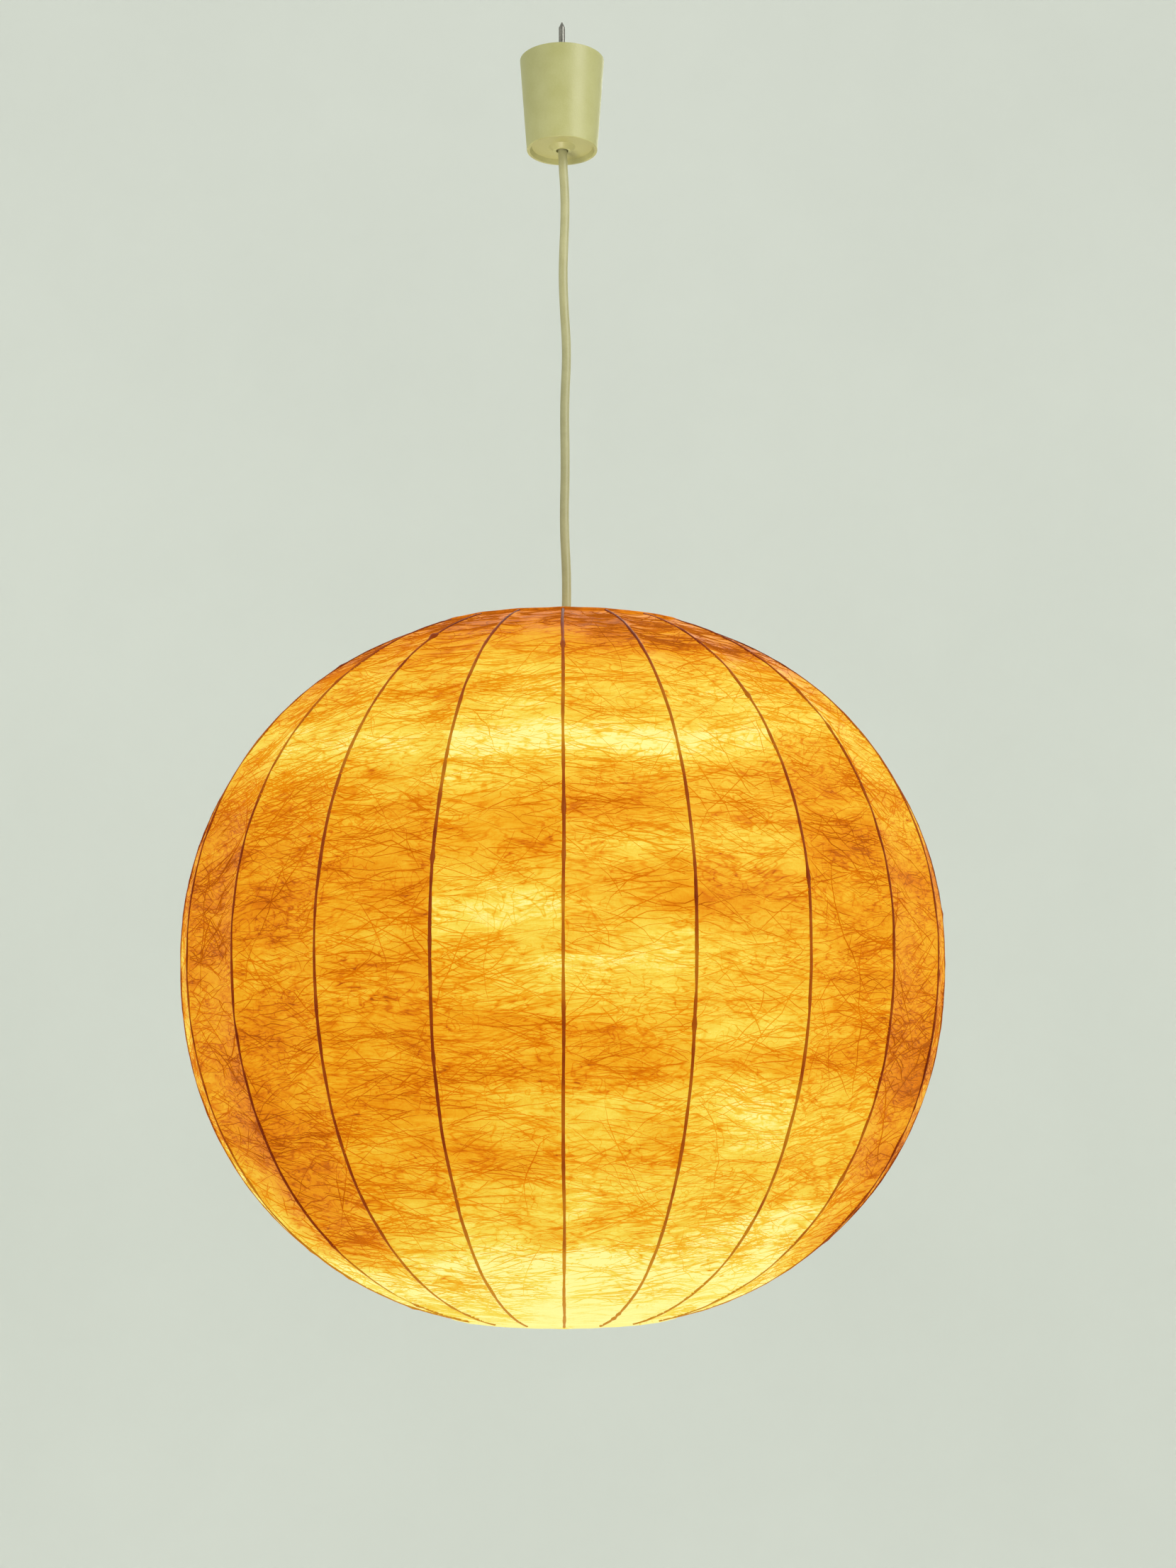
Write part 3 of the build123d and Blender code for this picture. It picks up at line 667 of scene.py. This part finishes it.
# The ribs are painted with the skin's glow, darkened into a painted shadow of the wire.
rib_tree = Tree("rib_wire")
rib_where = rib_tree.place()
rib_stretched = rib_tree.stretch(rib_where, (20, 20, 60))
rib_cloud = rib_tree.noise(rib_stretched, 1.0, 3.0, 0.6).outputs["Fac"]
rib_level = rib_tree.add("Attribute", attribute_name="glow").outputs["Fac"]
rib_glow = rib_tree.math("MULTIPLY", rib_level, 0.80)
rib_mix = rib_tree.math("ADD", rib_glow, rib_tree.math("MULTIPLY", rib_cloud, 0.25))
rib_shadowed_glow = rib_tree.ramp(
    rib_mix,
    [
        (0.30, srgb(96, 18, 0)),
        (0.52, srgb(134, 46, 0)),
        (0.70, srgb(166, 78, 2)),
        (0.98, srgb(208, 138, 20)),
    ],
)
rib_base = rib_tree.ramp(rib_cloud, [(0.3, (0.020, 0.006, 0.001)), (0.7, (0.040, 0.014, 0.003))])
rib_shader = rib_tree.add(
    "BsdfPrincipled",
    {
        "Base Color": rib_base,
        "Roughness": 0.45,
        "Specular IOR Level": 0.06,
        "Emission Color": rib_shadowed_glow,
        "Emission Strength": 0.9,
    },
)
rib_material = rib_tree.finish(rib_shader.outputs[0])
rib_along = np.linspace(0, LINE_LENGTH, RIB_POINTS)
for i in range(RIB_COUNT):
    draw = np.random.RandomState(100 + i)
    wander = np.zeros(RIB_POINTS)
    for waves, reach in RIB_WANDER:
        turns = waves * 2 * math.pi * rib_along / LINE_LENGTH + draw.uniform(0, 2 * math.pi)
        wander += reach * draw.uniform(0.4, 1.0) * np.sin(turns)
    azimuth = FRONT + 2 * HALF_GORE * i + wander / np.interp(rib_along, run, line_r)
    centre = surface(azimuth, rib_along, -RIB_DEPTH)[None]
    normals = surface(azimuth, rib_along, RIB_NORMAL_REACH)[None] - centre
    radii = RIB_RADIUS * (1 + 0.07 * draw.normal(0, 1, RIB_POINTS).clip(-1, 2))
    for bead in draw.randint(4, RIB_POINTS - 4, BEADS_PER_RIB):
        radii[bead] *= BEAD_SWELL
    points, faces = tubes(centre, normals, radii[None], RIB_SIDES)
    rib_levels = np.repeat(glow(azimuth, np.interp(rib_along, run, line_h)), RIB_SIDES)
    rib = link_mesh(f"rib_wire_{i + 1:02d}", points, faces, rib_material, rib_levels)
    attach(rib, "lamp")
    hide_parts(f"rib_{i + 1:02d}")

# ---- Materials of the CAD pieces ----
ivory_tones = srgb(164, 161, 105), srgb(172, 170, 118)
ivory = solid_material("ivory_plastic", *ivory_tones, 0.44, 900.0, 0.14, spot=55.0)
frame_paint = solid_material("frame_paint", srgb(190, 180, 150), srgb(226, 218, 192), 0.42)
zinc = solid_material("zinc_steel", srgb(96, 94, 88), srgb(148, 146, 140), 0.38, 900.0, 0.10, 0.9)
nylon = solid_material("natural_nylon", srgb(196, 192, 174), srgb(222, 218, 202), 0.50)
brass = solid_material("brass", srgb(168, 128, 62), srgb(214, 176, 98), 0.30, 900.0, 0.05, 1.0)
brown_wire = solid_material("brown_insulation", srgb(78, 44, 26), srgb(112, 66, 40), 0.45)
rubber = solid_material("rubber", srgb(26, 26, 25), srgb(46, 46, 44), 0.80)
black_plastic = solid_material("black_plastic", srgb(20, 18, 17), srgb(40, 37, 34), 0.30, 800.0, 0.06)
ceramic = solid_material("steatite", srgb(206, 202, 190), srgb(232, 229, 219), 0.55, 600.0, 0.12)
rolled_tones = srgb(160, 158, 152), srgb(206, 204, 198)
rolled_metal = solid_material("rolled_aluminium", *rolled_tones, 0.26, 800.0, 0.06, 1.0)
solder = solid_material("solder", srgb(140, 140, 138), srgb(188, 188, 184), 0.35, 900.0, 0.12, 1.0)
cable_tones = srgb(152, 148, 106), srgb(166, 162, 122)
cable = solid_material("cable_sheath", *cable_tones, 0.42, 900.0, 0.06, spot=60.0)
cord.data.materials.append(cable)


def lit_material(name, dim, bright, strength):
    """Glowing glass or wire with a slightly uneven light."""
    tree = Tree(name)
    cloud = tree.noise(tree.place(), 45.0, 3.0).outputs["Fac"]
    shader = tree.add(
        "BsdfPrincipled",
        {
            "Base Color": tree.ramp(cloud, [(0.3, dim), (0.7, bright)]),
            "Roughness": 0.35,
            "Emission Color": tree.ramp(cloud, [(0.3, dim), (0.7, bright)]),
            "Emission Strength": strength,
        },
    )
    return tree.finish(shader.outputs[0])


lit_glass = lit_material("lit_bulb_glass", (1.0, 0.74, 0.40), (1.0, 0.80, 0.48), 16.0)
lit_wire = lit_material("lit_filament", (1.0, 0.62, 0.25), (1.0, 0.72, 0.35), 30.0)
stem_glass = solid_material("stem_glass", (0.7, 0.7, 0.68), (0.85, 0.85, 0.82), 0.2)
node_materials = {
    "canopy_cup": ivory,
    "top_ring": frame_paint,
    "bottom_ring": frame_paint,
    "fitter_ring": frame_paint,
    "ceiling_hook": zinc,
    "hanger_ring": zinc,
    "grip_screws": zinc,
    "cord_grip": nylon,
    "grip_clamp": nylon,
    "terminal_block": nylon,
    "cord_nipple": nylon,
    "terminal_screws": brass,
    "core_screws": brass,
    "holder_contact": brass,
    "conductors": brown_wire,
    "canopy_grip_ring": rubber,
    "holder_body": black_plastic,
    "shade_ring": black_plastic,
    "holder_cap": black_plastic,
    "bulb_insulator": black_plastic,
    "holder_core": ceramic,
    "thread_shell": rolled_metal,
    "bulb_base": rolled_metal,
    "bulb_contact": solder,
    "bulb_glass": lit_glass,
    "bulb_filament": lit_wire,
    "bulb_stem": stem_glass,
}
for i in (1, 2, 3):
    node_materials[f"spider_arm_{i}"] = frame_paint
for name, material in node_materials.items():
    slots = nodes[name].data.materials
    slots.clear()
    slots.append(material)

# ---- Studio ----
FLOOR = -2.9
FLAT_RADIUS = 3.4
SWEEP = 1.6  # radius of the round corner between floor and wall
SWEEP_STEPS = 12
WALL_TOP = 3.0
profile = [(0.0, FLOOR), (FLAT_RADIUS, FLOOR)]
for step in range(1, SWEEP_STEPS + 1):
    angle = step / SWEEP_STEPS * math.pi / 2
    rise = SWEEP * (1 - math.cos(angle))
    profile.append((FLAT_RADIUS + SWEEP * math.sin(angle), FLOOR + rise))
profile.append((FLAT_RADIUS + SWEEP, WALL_TOP))
sides = 96
stage_points = [(0, 0, FLOOR)]
stage_faces = []
for radius, height in profile[1:]:
    for k in range(sides):
        angle = 2 * math.pi * k / sides
        stage_points.append((radius * math.cos(angle), radius * math.sin(angle), height))
for k in range(sides):
    stage_faces.append((0, 1 + k, 1 + (k + 1) % sides))
for ring in range(len(profile) - 2):
    low, high = 1 + ring * sides, 1 + (ring + 1) * sides
    for k in range(sides):
        beside = (k + 1) % sides
        stage_faces.append((low + k, high + k, high + beside, low + beside))
stage_tones = (0.77, 0.79, 0.76), (0.80, 0.82, 0.79)
stage_material = solid_material("pale_stage", *stage_tones, 0.9, 3.0, 0.0, spot=0.6)
floor = link_mesh("floor", stage_points, stage_faces, stage_material)
floor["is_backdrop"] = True


def aim_light(light, spot, target):
    """Places a light and turns it towards a point."""
    light.location = spot
    light.rotation_euler = (Vector(target) - Vector(spot)).to_track_quat("-Z", "Y").to_euler()


world = bpy.data.worlds.new("world")
scene.world = world
world.use_nodes = True
backdrop = world.node_tree.nodes["Background"].inputs
backdrop["Color"].default_value = (0.905, 0.93, 0.865, 1)
backdrop["Strength"].default_value = 0.90
for name, spot, size, energy, tint in (
    ("key", (2.4, -2.2, 0.9), 2.0, 78, (1.0, 1.0, 0.97)),
    ("fill", (-2.6, -1.6, 0.4), 2.2, 16, (1.0, 0.98, 0.90)),
    ("back", (0.4, 3.0, 1.0), 2.0, 34, (0.96, 1.0, 0.98)),
):
    lamp_data = bpy.data.lights.new(name, "AREA")
    lamp_data.size = size
    lamp_data.energy = energy
    lamp_data.color = tint
    light = bpy.data.objects.new(name, lamp_data)
    scene.collection.objects.link(light)
    aim_light(light, spot, (0, 0, -0.45))


# Stands in for the lamp's own light on the underside of the cup.
uplight_data = bpy.data.lights.new("uplight", "SPOT")
uplight_data.energy = 5
uplight_data.color = (1.0, 0.95, 0.80)
uplight_data.shadow_soft_size = 0.05
uplight_data.spot_size = math.radians(20)
uplight_data.spot_blend = 1.0
uplight = bpy.data.objects.new("uplight", uplight_data)
scene.collection.objects.link(uplight)
uplight.visible_camera = False
aim_light(uplight, (-0.05, -0.13, -0.40), (0, 0, -0.09))

low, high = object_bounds()
